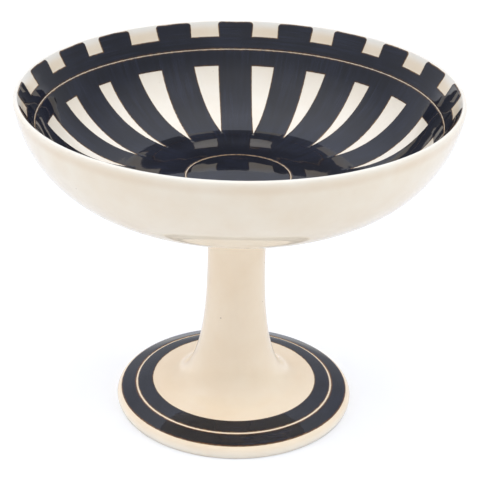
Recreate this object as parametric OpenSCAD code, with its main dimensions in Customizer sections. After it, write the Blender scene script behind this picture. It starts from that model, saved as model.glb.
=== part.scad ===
// Footed compote bowl: a thrown shallow bowl on a hollow stem and foot,
// luted together with slip and decorated with black slip bands, rays and rings.
// The origin is at the middle of the foot's standing ring, and +Z is the throwing axis.

/* [Bowl] */
// Outside diameter that the wall's outer curve would reach
bowl_d = 276; // [262:1:285]
// Radius of the flat floor, inside and out
floor_r = 63; // [58:1:68]
// Thickness of the floor between its inner and outer flats
floor_t = 12.5; // [10:0.5:16]
// Thickness of the clay where the cove leaves the floor, less what the floor adds
wall_t = 7; // [6:0.25:8]
// Angle of the upper inner wall above the horizontal
wall_angle = 60; // [56:1:62]
// Radius of the rounded lip
lip_r = 1.7; // [1.4:0.1:2.2]
// How far the underside drops from the flat's edge to the joint
boss_drop = 2.4; // [1:0.2:4]

/* [Pedestal] */
// Height of the stem's top face above the table
pedestal_h = 145; // [135:1:160]
// Radius of the stem at its top
stem_r = 18.4; // [17:0.2:21]
// Clay thickness of the stem and the foot
pedestal_wall = 7.5; // [6.5:0.25:8.5]
// Height where the stem starts to flare
flare_h = 100; // [94:1:110]
// How far the stem's upright line holds before the flare bends
flare_stem_pull = 60; // [50:1:70]
// How far the foot's slope holds before the flare bends
flare_foot_pull = 14.8; // [10:0.2:20]
// Thickness of clay left above the bore
stem_cap_t = 9; // [7:0.5:14]

/* [Foot] */
// Radius of the crown's rim, where the foot's edge starts to turn down
foot_crown_r = 74.5; // [72:0.5:80]
// Height of the crown's rim above the table
foot_crown_h = 8; // [7.5:0.25:10]
// Radius of the convex arc that makes the crown
crown_arc_r = 140; // [125:1:170]
// Distance of that arc's centre from the axis
crown_arc_x = 29.6; // [24:0.2:34]
// Radius of the foot's rounded edge
foot_edge_r = 4.5; // [3.5:0.1:5.5]
// How far the standing edge is drawn in below the rounded edge
foot_tuck = 1.3; // [0.8:0.1:2]
// Width of the ring that stands on the table
foot_ring_w = 8.5; // [7:0.5:11]
// How far the hollow's wall leans in above the standing ring
recess_lean = 2.6; // [1.5:0.1:4]

/* [Joint] */
// Thickness of the slip between the stem's top and the bowl
joint_t = 1; // [0.6:0.1:1.6]
// How far the luted collar spreads past the stem
collar_w = 5.6; // [4:0.2:8]

/* [Slip decoration] */
// Thickness of the black slip coats
slip_t = 0.3; // [0.2:0.05:0.5]
// Hair gap between the clay and a slip coat
slip_seat = 0.04; // [0.02:0.01:0.1]
// Number of rays, and of the teeth in the rim band
ray_n = 20; // [16:1:22]
// Turn of the whole pattern about the axis
pattern_turn = 11.6; // [0:0.2:18]
// Plan width of the rim band, from the lip's crest to the scribed line
rim_band_w = 10.6; // [9.5:0.2:13]
// Plan length of the gaps between the rim band's teeth
tooth_l = 6.8; // [5:0.2:8]
// Width of the gaps between the rim band's teeth
tooth_gap_w = 16.6; // [12:0.2:20]
// Plan width of the black ring between the scribed line and the rays
ray_ring_w = 5.2; // [4:0.2:8]
// Radius where the rays come to a point
ray_tip_r = 68.6; // [60:0.2:76]
// Width of the rays at their square tops
ray_top_w = 14.6; // [11:0.2:17]
// How much the rays swell past a straight taper, as a share of their top width
ray_swell_share = 0.4; // [0.1:0.05:0.6]
// Radius of the scribed circle round the centre disc
centre_r = 32.8; // [26:0.2:40]
// Width of the scribed lines in the bowl
line_w = 1; // [0.6:0.1:1.6]
// Width of the foot's outer black ring, from the crown's rim to the scribed line
foot_outer_w = 9.35; // [8:0.05:11]
// Width of the scribed line on the foot
foot_line_w = 1.5; // [1:0.1:2]
// Width of the foot's inner black ring
foot_inner_w = 9.55; // [8:0.05:11]
// Width of the bare crown between the inner black ring and the stem's flare
crown_bare_w = 11.1; // [9:0.1:13]

/* [Hidden] */
$fn = 96;
arc_n = 14;
lip_n = 6;
flare_n = 18;
crown_n = 4;
ray_side_n = 6;
edge_low_angle = -35;
cut_overrun = 2;
clay_colour = [0.93, 0.88, 0.80];
slip_colour = [0.15, 0.15, 0.18];
joint_colour = [0.86, 0.79, 0.69];

outer_arc_r = bowl_d / 2 - floor_r;
cove_r = outer_arc_r - wall_t;
joint_z = pedestal_h + joint_t;
under_z = joint_z + boss_drop;
floor_z = under_z + floor_t;
collar_r = stem_r + collar_w;

// The lip's centre is as far from the outer arc as from the inner wall's line.
wall_dir = [cos(wall_angle), sin(wall_angle)];
wall_out = [sin(wall_angle), -cos(wall_angle)];
outer_arc_c = [floor_r, under_z + outer_arc_r];
wall_foot = [floor_r, floor_z + cove_r] + cove_r * wall_out;
lip_from = wall_foot + lip_r * wall_out - outer_arc_c;
lip_along = lip_from * wall_dir;
lip_reach = sqrt(pow(lip_along, 2) - lip_from * lip_from + pow(outer_arc_r - lip_r, 2)) - lip_along;
lip_c = outer_arc_c + lip_from + lip_reach * wall_dir;
lip_out_angle = atan2(lip_c[1] - outer_arc_c[1], lip_c[0] - outer_arc_c[0]);
crest_r = lip_c[0];
coat_cut_h = lip_c[1] + lip_r - floor_z + 2 * cut_overrun;

pitch = 360 / ray_n;
line_r = crest_r - rim_band_w;
tooth_root_r = crest_r - tooth_l;
ray_top_r = line_r - line_w / 2 - ray_ring_w;

foot_outer_in_r = foot_crown_r - foot_outer_w;
foot_inner_out_r = foot_outer_in_r - foot_line_w;
foot_inner_in_r = foot_inner_out_r - foot_inner_w;
flare_r = foot_inner_in_r - crown_bare_w;
crown_arc_z = foot_crown_h - sqrt(pow(crown_arc_r, 2) - pow(foot_crown_r - crown_arc_x, 2));
crown_rim_angle = acos((foot_crown_r - crown_arc_x) / crown_arc_r);
foot_edge_c = [foot_crown_r, foot_crown_h] - foot_edge_r * [cos(crown_rim_angle), sin(crown_rim_angle)];
stand_r = foot_edge_c[0] + foot_edge_r - foot_tuck;
stand_in_r = stand_r - foot_ring_w;
flare_slope = asin((flare_r - crown_arc_x) / crown_arc_r);
bore_r = stem_r - pedestal_wall;
bore_top_z = pedestal_h - stem_cap_t;

// Points of an arc about c from angle a0 to a1, in n steps.
function arc(c, r, a0, a1, n) = [for (i = [0:n]) let (a = a0 + (a1 - a0) * i / n) c + r * [cos(a), sin(a)]];

// Point at t on the cubic curve with end points p0 and p3 and handles p1 and p2.
function bezier(p0, p1, p2, p3, t) =
    pow(1 - t, 3) * p0 + 3 * t * pow(1 - t, 2) * p1 + 3 * t * t * (1 - t) * p2 + pow(t, 3) * p3;

// Inside of the bowl from the axis to the lip's crest, raised off the clay by lift.
function inside_path(lift) = concat(
    [[0, floor_z + lift]],
    arc([floor_r, floor_z + cove_r], cove_r - lift, -90, wall_angle - 90, arc_n),
    arc(lip_c, lip_r + lift, 90 + wall_angle, 90, lip_n));

// Top of the foot's crown at radius r, raised by lift along its arc's radius.
function crown_point(r, lift) =
    let (a = acos((r - crown_arc_x) / crown_arc_r))
    [crown_arc_x, crown_arc_z] + (crown_arc_r + lift) * [cos(a), sin(a)];

function crown_path(r0, r1, lift, n) = [for (i = [0:n]) crown_point(r0 + (r1 - r0) * i / n, lift)];

// The stem's flare from the foot's crown up to the straight stem.
flare_foot = crown_point(flare_r, 0);
flare_path = [for (i = [0:flare_n]) bezier(
    flare_foot,
    flare_foot + flare_foot_pull * [-cos(flare_slope), sin(flare_slope)],
    [stem_r, flare_h - flare_stem_pull],
    [stem_r, flare_h],
    i / flare_n)];

// Each point of a path moved by d to the left of the way that the path runs.
function shifted(path, d) = [for (i = [0:len(path) - 1])
    let (step = path[min(i + 1, len(path) - 1)] - path[max(i - 1, 0)])
    path[i] + d / norm(step) * [-step[1], step[0]]];

function reversed(path) = [for (i = [len(path) - 1:-1:0]) path[i]];

// A path without its first point, so that it can follow one that ends there.
function after_first(path) = [for (i = [1:len(path) - 1]) path[i]];

// The part of an inside path between radii r0 and r1, with its cut ends.
function between(path, r0, r1) = concat(
    [[r0, lookup(r0, path)]],
    [for (p = path) if (p[0] > r0 && p[0] < r1) p],
    [[r1, lookup(r1, path)]]);

module clay() {
    color(clay_colour) children();
}

module black_slip() {
    color(slip_colour) children();
}

// A coat of slip on the inside of the bowl between two radii.
module bowl_coat(r0, r1) {
    rotate_extrude()
        polygon(concat(
            between(inside_path(slip_seat), r0, r1),
            reversed(between(inside_path(slip_seat + slip_t), r0, r1))));
}

// A coat of slip on the foot's crown between two radii.
module foot_coat(r0, r1) {
    rotate_extrude()
        polygon(concat(
            crown_path(r0, r1, slip_seat, crown_n),
            reversed(crown_path(r0, r1, slip_seat + slip_t, crown_n))));
}

// Plan outline of one ray, from its tip on the axis side to its square top.
module ray_outline() {
    side = [for (i = [0:ray_side_n])
        let (s = i / ray_side_n)
        [ray_tip_r + (ray_top_r - ray_tip_r) * s, ray_top_w / 2 * s * (1 + ray_swell_share * (1 - s))]];
    polygon(concat(side, [for (p = reversed(side)) if (p[1] > 0) [p[0], -p[1]]]));
}

module bowl() {
    clay() rotate_extrude() polygon(concat(
        inside_path(0),
        after_first(arc(lip_c, lip_r, 90, lip_out_angle, lip_n)),
        after_first(arc(outer_arc_c, outer_arc_r, lip_out_angle, -90, arc_n)),
        [[collar_r, joint_z], [0, joint_z]]));
}

module pedestal() {
    hollow_top = concat(crown_path(stand_in_r - recess_lean, flare_r, 0, crown_n), after_first(flare_path));
    clay() rotate_extrude() polygon(concat(
        [[stand_in_r, 0], [stand_r, 0]],
        arc(foot_edge_c, foot_edge_r, edge_low_angle, crown_rim_angle, lip_n),
        after_first(crown_path(foot_crown_r, flare_r, 0, crown_n)),
        after_first(flare_path),
        [[stem_r, pedestal_h], [0, pedestal_h]],
        arc([0, bore_top_z - bore_r], bore_r, 90, 0, lip_n),
        reversed(shifted(hollow_top, pedestal_wall))));
}

module joint_slip() {
    collar_top = [collar_r, joint_z];
    color(joint_colour) rotate_extrude() polygon(concat(
        [[0, joint_z], [0, pedestal_h], [stem_r, pedestal_h]],
        arc(collar_top - [0, collar_w], collar_w, 180, 90, lip_n)));
}

module rim_band() {
    black_slip() difference() {
        bowl_coat(line_r + line_w / 2, crest_r);
        for (i = [0:ray_n - 1])
            rotate(pattern_turn + i * pitch)
                translate([tooth_root_r, -tooth_gap_w / 2, floor_z])
                    cube([tooth_l + cut_overrun, tooth_gap_w, coat_cut_h]);
    }
}

module ray_field() {
    black_slip() difference() {
        bowl_coat(centre_r + line_w / 2, line_r - line_w / 2);
        for (i = [0:ray_n - 1])
            rotate(pattern_turn + i * pitch)
                translate([0, 0, floor_z - cut_overrun])
                    linear_extrude(coat_cut_h) ray_outline();
    }
}

module centre_disc() {
    black_slip() bowl_coat(0, centre_r - line_w / 2);
}

module foot_outer_ring() {
    black_slip() foot_coat(foot_outer_in_r, foot_crown_r);
}

module foot_inner_ring() {
    black_slip() foot_coat(foot_inner_in_r, foot_inner_out_r);
}

bowl();
pedestal();
joint_slip();
rim_band();
ray_field();
centre_disc();
foot_outer_ring();
foot_inner_ring();
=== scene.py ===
"""Footed compote bowl in glazed earthenware with black slip bands, rays and rings.

The clay is a thrown bowl luted to a thrown, hollow stem and foot. Black slip lies on it in thin
coats, with pale clay left bare for the rays, the rim gaps and the scribed lines, and a clear
gloss glaze covers it all. Every form is a surface of revolution worked out from its profile in
metres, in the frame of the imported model, with the slight unevenness of hand work added.
"""

import logging
import math
from dataclasses import dataclass, field
from enum import Enum
from typing import Any, Iterable

import bpy
import numpy as np
from mathutils import Matrix, Vector

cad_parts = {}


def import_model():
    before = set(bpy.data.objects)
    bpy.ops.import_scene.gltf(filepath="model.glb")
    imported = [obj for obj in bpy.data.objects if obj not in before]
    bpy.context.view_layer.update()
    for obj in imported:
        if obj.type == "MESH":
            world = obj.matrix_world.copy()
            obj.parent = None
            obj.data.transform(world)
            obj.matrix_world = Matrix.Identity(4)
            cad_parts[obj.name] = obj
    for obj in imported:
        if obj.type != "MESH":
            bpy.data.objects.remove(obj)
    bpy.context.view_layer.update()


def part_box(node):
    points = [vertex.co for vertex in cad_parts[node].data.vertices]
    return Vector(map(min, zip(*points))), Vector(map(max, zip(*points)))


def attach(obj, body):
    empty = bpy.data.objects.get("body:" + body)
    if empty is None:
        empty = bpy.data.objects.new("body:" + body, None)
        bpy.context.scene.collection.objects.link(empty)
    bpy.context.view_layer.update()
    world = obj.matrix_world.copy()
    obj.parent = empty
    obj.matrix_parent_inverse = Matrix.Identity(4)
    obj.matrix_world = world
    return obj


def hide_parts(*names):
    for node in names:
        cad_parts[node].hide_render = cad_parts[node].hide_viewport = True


MM = 0.001
FULL_TURN = 2.0 * math.pi
IMAGE_PX = 480
# How far the luted joint and the bowl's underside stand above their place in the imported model.
JOINT_RISE = 1.2 * MM
# Radius at which the brush's streaks are measured, in millimetres.
RIM_MM = 138.0
# Points in each arc and each curve of an outline, and in the bowl's floor.
CURVE_POINTS = 200
FLOOR_POINTS = 100
# Decimals of a metre to which ring places are rounded, so that equal ones merge.
MERGE_DECIMALS = 6
# Settings of nodes that ease a value between two ends, and that blend colours.
EASED = {"interpolation_type": "SMOOTHSTEP"}
COLOURS = {"data_type": "RGBA"}

Array = np.ndarray
Tree = bpy.types.NodeTree
Node = bpy.types.Node
Socket = bpy.types.NodeSocket
Material = bpy.types.Material
Piece = bpy.types.Object

log = logging.getLogger("compote")


# Colour and node helpers

def linear(hex_colour: str) -> tuple[float, float, float, float]:
    """Turns an sRGB hex colour into linear RGBA.

    Args:
        hex_colour: six hex digits with a leading hash.

    Returns:
        Linear red, green, blue, and an alpha of 1.
    """
    parts = [int(hex_colour[i:i + 2], 16) / 255.0 for i in (1, 3, 5)]
    return (*[c / 12.92 if c <= 0.04045 else ((c + 0.055) / 1.055) ** 2.4 for c in parts], 1.0)


def add_node(tree: Tree, kind: str, settings: dict[str, Any] | None = None, **links: Any) -> Node:
    """Adds one shader node, sets it up and links its inputs.

    Args:
        tree: the node tree.
        kind: the node's type, without its ShaderNode prefix.
        settings: attributes of the node. For a colour ramp, stops holds places from 0 to 1, each
            with its sRGB hex colour.
        **links: input sockets by name, with underscores for spaces, or by i and the socket's
            number. Each value is a constant, an output socket, or a node for its first output.

    Returns:
        The new node.
    """
    node = tree.nodes.new("ShaderNode" + kind)
    for name, value in (settings or {}).items():
        if name != "stops":
            setattr(node, name, value)
            continue
        elements = node.color_ramp.elements
        while len(elements) < len(value):
            elements.new(0.5)
        for element, (place, colour) in zip(elements, value):
            element.position = place
            element.color = linear(colour)
    for name, value in links.items():
        key: Any = int(name[1:]) if name[0] == "i" and name[1:].isdigit() else name.replace("_", " ")
        source = value.outputs[0] if isinstance(value, bpy.types.Node) else value
        if isinstance(source, bpy.types.NodeSocket):
            tree.links.new(source, node.inputs[key])
        else:
            node.inputs[key].default_value = source
    return node


def new_material(name: str) -> tuple[Material, Tree, Node]:
    """Makes a material with a Principled shader.

    Args:
        name: the material's name.

    Returns:
        The material, its node tree and its shader node.
    """
    material = bpy.data.materials.new(name)
    material.use_nodes = True
    tree = material.node_tree
    return material, tree, tree.nodes["Principled BSDF"]


def set_sockets(shader: Node, **values: Any) -> None:
    """Sets constants on a shader's own sockets, with underscores for spaces in their names."""
    for name, value in values.items():
        shader.inputs[name.replace("_", " ")].default_value = value


# Finishes

class BrushWay(Enum):
    """Which way the slip brush ran: round the axis on the turning wheel, or outward from it.

    The two values are the size of its streaks in millimetres: round the axis as measured at the
    rim, and along the outline.
    """

    ROUND = (46.0, 1.25)
    OUTWARD = (3.0, 100.0 / 3.0)


@dataclass(frozen=True)
class ClearGlaze:
    """Clear lead-free gloss glaze, fired to a smooth glass over the clay and slip.

    Its smooth coat gives the sharp highlights, and its slight unevenness, from dipping and
    running, makes them waver.

    Attributes:
        ior: index of the glass.
        roughness: roughness of its surface.
        body_roughness: roughness of the clay or slip under it.
        peel_mm: distance between its shallow waves.
        peel_depth: height of those waves, in metres.
    """

    ior: float = 1.5
    roughness: float = 0.035
    body_roughness: float = 0.45
    peel_mm: float = 7.0
    peel_depth: float = 0.006 * MM

    def cover(self, tree: Tree, shader: Node) -> None:
        """Coats a shader and gives it the glaze's wavering surface.

        Args:
            tree: the material's node tree.
            shader: its Principled shader.
        """
        set_sockets(shader, Coat_Weight=1.0, Coat_IOR=self.ior, Coat_Roughness=self.roughness,
                    Roughness=self.body_roughness, Specular_IOR_Level=0.0)
        place = add_node(tree, "TexCoord").outputs["Object"]
        waves = add_node(tree, "TexNoise", Vector=place, Scale=1.0 / (self.peel_mm * MM), Detail=2.0)
        bump = add_node(tree, "Bump", Height=waves, Distance=self.peel_depth)
        for name in ("Normal", "Coat Normal"):
            tree.links.new(bump.outputs["Normal"], shader.inputs[name])


@dataclass(frozen=True)
class ColourBand:
    """A band of colour round a thrown piece, used for painted light and for tan tints.

    Attributes:
        way: distance of its middle along the outline, in millimetres.
        width: distance from its middle at which it has faded out, in millimetres.
        strength: share of its colour in its middle.
        colour: its colour.
    """

    way: float
    width: float
    strength: float
    colour: str


@dataclass(frozen=True)
class GlazedClay:
    """Cream earthenware, thrown, smoothed with a rib and covered with clear glaze.

    The glaze pools and thins, so the cream is faintly cloudy, and iron in the clay burns out as
    sparse brown specks. Bands of colour may lie on it: whiter ones are painted light, such as a
    painted highlight along the lip, and tan ones lie a little below the lip.

    Attributes:
        name: the material's name.
        pale: colour where the glaze is thick.
        deep: colour where it is a little thinner.
        speck: colour of the specks.
        cloud_mm: size of the clouds.
        speck_mm: distance between the places where a speck may lie.
        speck_share: share of those places that has one.
        speck_r: radius of the largest speck, as a share of that distance.
        speck_strength: share of the specks' colour.
        break_mm: length of the stretches over which a band is stronger or weaker.
        bands: its bands of colour, painted light and tan tints.
        glaze: the glaze over it.
    """

    name: str
    pale: str = "#F1E4CE"
    deep: str = "#EDDCC2"
    speck: str = "#8C6B49"
    cloud_mm: float = 34.0
    speck_mm: float = 9.0
    speck_share: float = 0.3
    speck_r: float = 0.045
    speck_strength: float = 0.7
    break_mm: float = 12.0
    bands: tuple[ColourBand, ...] = ()
    glaze: ClearGlaze = ClearGlaze()

    def material(self) -> Material:
        """Makes the material.

        Returns:
            The material.
        """
        material, tree, shader = new_material(self.name)
        place = add_node(tree, "TexCoord").outputs["Object"]
        cloud = add_node(tree, "TexNoise", Vector=place, Scale=1.0 / (self.cloud_mm * MM),
                         Detail=4.0, Roughness=0.55)
        clouds = add_node(tree, "ValToRGB", {"stops": ((0.35, self.deep), (0.65, self.pale))}, Fac=cloud)
        specked = self._specked(tree, place, clouds.outputs["Color"])
        tree.links.new(self._banded(tree, place, specked), shader.inputs["Base Color"])
        self.glaze.cover(tree, shader)
        return material

    def _specked(self, tree: Tree, place: Socket, colour: Socket) -> Socket:
        """Adds the brown specks: a small disc in the middle of some cells, of a size by chance.

        Args:
            tree: the material's node tree.
            place: the Object coordinates.
            colour: the colour between the specks.

        Returns:
            The colour with the specks.
        """
        cells = add_node(tree, "TexVoronoi", Vector=place, Scale=1.0 / (self.speck_mm * MM))
        chance = add_node(tree, "SeparateColor", Color=cells.outputs["Color"])
        size = add_node(tree, "MapRange", EASED, Value=chance.outputs["Red"], To_Max=self.speck_r,
                        From_Min=1.0 - self.speck_share)
        inside = add_node(tree, "Math", {"operation": "LESS_THAN"}, i0=cells.outputs["Distance"], i1=size)
        share = add_node(tree, "Math", {"operation": "MULTIPLY"}, i0=inside, i1=self.speck_strength)
        return add_node(tree, "Mix", COLOURS, i0=share, i6=colour, i7=linear(self.speck)).outputs[2]

    def _banded(self, tree: Tree, place: Socket, colour: Socket) -> Socket:
        """Adds the bands: each fades from its middle outward, and a slow noise breaks its strength.

        Args:
            tree: the material's node tree.
            place: the Object coordinates.
            colour: the colour outside the bands.

        Returns:
            The colour with the bands.
        """
        way = add_node(tree, "Attribute", {"attribute_name": "way_mm"}).outputs["Fac"]
        noise = add_node(tree, "TexNoise", Vector=place, Scale=1.0 / (self.break_mm * MM), Detail=3.0)
        broken = add_node(tree, "MapRange", EASED, Value=noise, From_Min=0.3, From_Max=0.7, To_Min=0.75)
        for band in self.bands:
            aside = add_node(tree, "Math", {"operation": "SUBTRACT"}, i0=way, i1=band.way)
            away = add_node(tree, "Math", {"operation": "ABSOLUTE"}, i0=aside)
            even = add_node(tree, "MapRange", EASED, Value=away, From_Max=band.width,
                            To_Min=band.strength, To_Max=0.0)
            share = add_node(tree, "Math", {"operation": "MULTIPLY"}, i0=even, i1=broken)
            colour = add_node(tree, "Mix", COLOURS, i0=share, i6=colour,
                              i7=linear(band.colour)).outputs[2]
        return colour


@dataclass(frozen=True)
class BlackSlip:
    """Black slip of cobalt, iron and manganese, brushed on leather-hard clay under the glaze.

    The brush leaves thin, bluish streaks; and where the coat thins at its edges, the iron in it
    bleeds brown and then tan into the glaze.

    Attributes:
        name: the material's name.
        way: which way the brush ran.
        dark: colour of the thick coat.
        streak: colour of the thin streaks.
        brown: colour near the edge.
        tan: colour at the very edge.
        halo_mm: width of the brown edge.
        tan_share: share of that width over which tan turns brown.
        brown_share: share of it past which brown turns black.
        patch_mm: size of the patches in which the streaks are stronger or weaker.
        fray_mm: length of the wavers in the brown edge.
        fray_depth_mm: how far those wavers stray.
        glaze: the glaze over it.
    """

    name: str
    way: BrushWay
    dark: str = "#12131B"
    streak: str = "#1F222F"
    brown: str = "#4A3122"
    tan: str = "#A08258"
    halo_mm: float = 1.1
    tan_share: float = 0.3
    brown_share: float = 0.25
    patch_mm: float = 26.0
    fray_mm: float = 2.5
    fray_depth_mm: float = 0.22
    glaze: ClearGlaze = ClearGlaze()

    def material(self) -> Material:
        """Makes the material.

        Returns:
            The material.
        """
        material, tree, shader = new_material(self.name)
        place = add_node(tree, "TexCoord").outputs["Object"]
        edge = add_node(tree, "Attribute", {"attribute_name": "edge_mm"}).outputs["Fac"]
        noise = add_node(tree, "TexNoise", Vector=place, Scale=1.0 / (self.fray_mm * MM), Detail=2.0)
        fray = add_node(tree, "MapRange", EASED, Value=noise, From_Min=0.25, From_Max=0.75,
                        To_Min=-self.fray_depth_mm, To_Max=self.fray_depth_mm)
        inward = add_node(tree, "Math", {"operation": "ADD"}, i0=edge, i1=fray)
        near = add_node(tree, "MapRange", EASED, Value=inward, From_Max=self.tan_share * self.halo_mm)
        far = add_node(tree, "MapRange", EASED, Value=inward, From_Min=self.brown_share * self.halo_mm,
                       From_Max=self.halo_mm)
        halo = add_node(tree, "Mix", COLOURS, i0=near, i6=linear(self.tan), i7=linear(self.brown))
        colour = add_node(tree, "Mix", COLOURS, i0=far, i6=halo.outputs[2],
                          i7=self._brushed(tree, place))
        tree.links.new(colour.outputs[2], shader.inputs["Base Color"])
        self.glaze.cover(tree, shader)
        return material

    def _brushed(self, tree: Tree, place: Socket) -> Socket:
        """Adds the brush's streaks: noise that is long the way the brush ran, stronger in patches.

        The noise is read at the direction from the axis times rim / streak size, and at the way
        along the outline over streak size.

        Args:
            tree: the material's node tree.
            place: the Object coordinates.

        Returns:
            The colour of the streaked black.
        """
        round_mm, way_mm = self.way.value
        level =add_node(tree, "VectorMath", {"operation": "MULTIPLY"}, i0=place, i1=(1.0, 1.0, 0.0))
        aim = add_node(tree, "VectorMath", {"operation": "NORMALIZE"}, i0=level)
        spread = add_node(tree, "VectorMath", {"operation": "SCALE"}, i0=aim, Scale=RIM_MM / round_mm)
        way = add_node(tree, "Attribute", {"attribute_name": "way_mm"}).outputs["Fac"]
        rise = add_node(tree, "Math", {"operation": "MULTIPLY"}, i0=way, i1=1.0 / way_mm)
        lifted = add_node(tree, "CombineXYZ", Z=rise)
        where = add_node(tree, "VectorMath", {"operation": "ADD"}, i0=spread, i1=lifted)
        streaks = add_node(tree, "TexNoise", Vector=where, Scale=1.0, Detail=3.0, Roughness=0.6)
        noise = add_node(tree, "TexNoise", Vector=place, Scale=1.0 / (self.patch_mm * MM), Detail=2.0)
        patches = add_node(tree, "MapRange", EASED, Value=noise, From_Min=0.3, From_Max=0.75,
                           To_Min=0.7, To_Max=1.25)
        both = add_node(tree, "Math", {"operation": "MULTIPLY"}, i0=streaks, i1=patches)
        stops = ((0.36, self.dark), (0.72, self.streak))
        return add_node(tree, "ValToRGB", {"stops": stops}, Fac=both).outputs["Color"]


@dataclass(frozen=True)
class BareClay:
    """Unglazed earthenware, wiped clean where the foot stood on the kiln shelf.

    With no glass over it, it is matt, a little sandy and slightly darker.

    Attributes:
        name: the material's name.
        pale: colour of the clay.
        deep: colour of its hollows.
        grain_mm: size of the sand.
        grain_depth: height of the sand, in metres.
        roughness: roughness of its surface.
        sheen: strength of its reflections.
    """

    name: str
    pale: str = "#D9C2A0"
    deep: str = "#B99B74"
    grain_mm: float = 0.7
    grain_depth: float = 0.05 * MM
    roughness: float = 0.9
    sheen: float = 0.3

    def material(self) -> Material:
        """Makes the material.

        Returns:
            The material.
        """
        material, tree, shader = new_material(self.name)
        place = add_node(tree, "TexCoord").outputs["Object"]
        grain = add_node(tree, "TexNoise", Vector=place, Scale=1.0 / (self.grain_mm * MM), Detail=4.0)
        colour = add_node(tree, "ValToRGB", {"stops": ((0.3, self.deep), (0.7, self.pale))}, Fac=grain)
        tree.links.new(colour.outputs["Color"], shader.inputs["Base Color"])
        bump = add_node(tree, "Bump", Height=grain, Distance=self.grain_depth)
        tree.links.new(bump.outputs["Normal"], shader.inputs["Normal"])
        set_sockets(shader, Roughness=self.roughness, Specular_IOR_Level=self.sheen)
        return material


# Mesh helpers

def smooth_step(x: Array) -> Array:
    """Eases x from 0 to 1: 3x^2 - 2x^3, with x held between 0 and 1."""
    x = np.clip(x, 0.0, 1.0)
    return x * x * (3.0 - 2.0 * x)


def turn_between(theta: Array, centre: Array) -> Array:
    """Size of the turn between two angles, at most half a turn."""
    return np.abs((theta - centre + math.pi) % FULL_TURN - math.pi)


def around(middle: float, reach: float, count: int) -> Array:
    """Places evenly spread within reach of a middle."""
    return middle + np.linspace(-reach, reach, count)


def merged_places(end: float, count: int, *close: Array) -> Array:
    """Merges even places along an outline with closer ones.

    Args:
        end: length of the outline in metres.
        count: number of even places from 0 to end.
        *close: groups of further places.

    Returns:
        The places in rising order, with equal ones merged.
    """
    places = np.concatenate([np.linspace(0.0, end, count), *close])
    places = np.unique(np.round(places, MERGE_DECIMALS))
    places[-1] = end
    return places


def cell_corners(i: Array, j: Array, columns: int) -> Array:
    """Corners of cells in a grid that closes round the axis.

    Args:
        i: the cells' rows.
        j: the cells' columns.
        columns: number of columns in the grid.

    Returns:
        Four point numbers for each cell, on a last axis.
    """
    row, next_row, k = i * columns, (i + 1) * columns, (j + 1) % columns
    return np.stack([row + j, next_row + j, next_row + k, row + k], axis=-1)


def make_mesh(name: str, points: Array, quads: Array, tris: Array | None = None) -> Piece:
    """Makes an object at the origin from points, quads and triangles.

    Args:
        name: the piece's name.
        points: n x 3 places in metres.
        quads: m x 4 point numbers.
        tris: k x 3 point numbers, or None.

    Returns:
        The linked object, shaded smooth.
    """
    tris = np.zeros((0, 3), int) if tris is None else tris
    corners = np.concatenate([quads.ravel(), tris.ravel()]).astype(np.int32)
    sizes = np.concatenate([np.full(len(quads), 4), np.full(len(tris), 3)]).astype(np.int32)
    starts = np.concatenate([[0], np.cumsum(sizes)[:-1]]).astype(np.int32)
    mesh = bpy.data.meshes.new(name)
    mesh.vertices.add(len(points))
    mesh.vertices.foreach_set("co", points.astype(np.float32).ravel())
    mesh.loops.add(len(corners))
    mesh.loops.foreach_set("vertex_index", corners)
    mesh.polygons.add(len(sizes))
    mesh.polygons.foreach_set("loop_start", starts)
    mesh.polygons.foreach_set("loop_total", sizes)
    mesh.polygons.foreach_set("use_smooth", np.ones(len(sizes), bool))
    mesh.update(calc_edges=True)
    mesh.validate()
    piece = bpy.data.objects.new(name, mesh)
    bpy.context.scene.collection.objects.link(piece)
    return piece


def set_value(piece: Piece, name: str, values: Array) -> None:
    """Stores one number for each point of a piece, for its material to read."""
    layer = piece.data.attributes.new(name, "FLOAT", "POINT")
    layer.data.foreach_set("value", values.astype(np.float32))


def dress_below(piece: Piece, height: float) -> None:
    """Gives a piece's faces that lie wholly below a height its second material.

    Args:
        piece: the piece.
        height: the height in metres.
    """
    mesh = piece.data
    points = np.empty(3 * len(mesh.vertices), np.float32)
    mesh.vertices.foreach_get("co", points)
    starts = np.empty(len(mesh.polygons), np.int32)
    mesh.polygons.foreach_get("loop_start", starts)
    corners = np.empty(len(mesh.loops), np.int32)
    mesh.loops.foreach_get("vertex_index", corners)
    highest = np.maximum.reduceat(points[2::3][corners], starts)
    mesh.polygons.foreach_set("material_index", (highest < height).astype(np.int32))


def dress(piece: Piece, node: str, slot: str, *materials: Material) -> Piece:
    """Dresses a piece, hangs it on the root body and hides the CAD node that it stands for.

    Args:
        piece: the new piece.
        node: the CAD node that it replaces.
        slot: not used.
        *materials: its materials, the main one first.

    Returns:
        The same piece.
    """
    for material in materials:
        piece.data.materials.append(material)
    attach(piece, "root")
    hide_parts(node)
    return piece


# Outlines and thrown forms

def arc(centre: tuple[float, float], radius: float, start: float, end: float) -> Array:
    """Points of an arc: centre + radius (cos a, sin a), with a from start to end in degrees."""
    a = np.radians(np.linspace(start, end, CURVE_POINTS))
    return np.stack([centre[0] + radius * np.cos(a), centre[1] + radius * np.sin(a)], axis=1)


def bezier(p0: Array, p1: Array, p2: Array, p3: Array) -> Array:
    """Points of the cubic curve (1-t)^3 p0 + 3(1-t)^2 t p1 + 3(1-t) t^2 p2 + t^3 p3."""
    t = np.linspace(0.0, 1.0, CURVE_POINTS)[:, None]
    return (1 - t) ** 3 * p0 + 3 * (1 - t) ** 2 * t * p1 + 3 * (1 - t) * t * t * p2 + t ** 3 * p3


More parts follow.
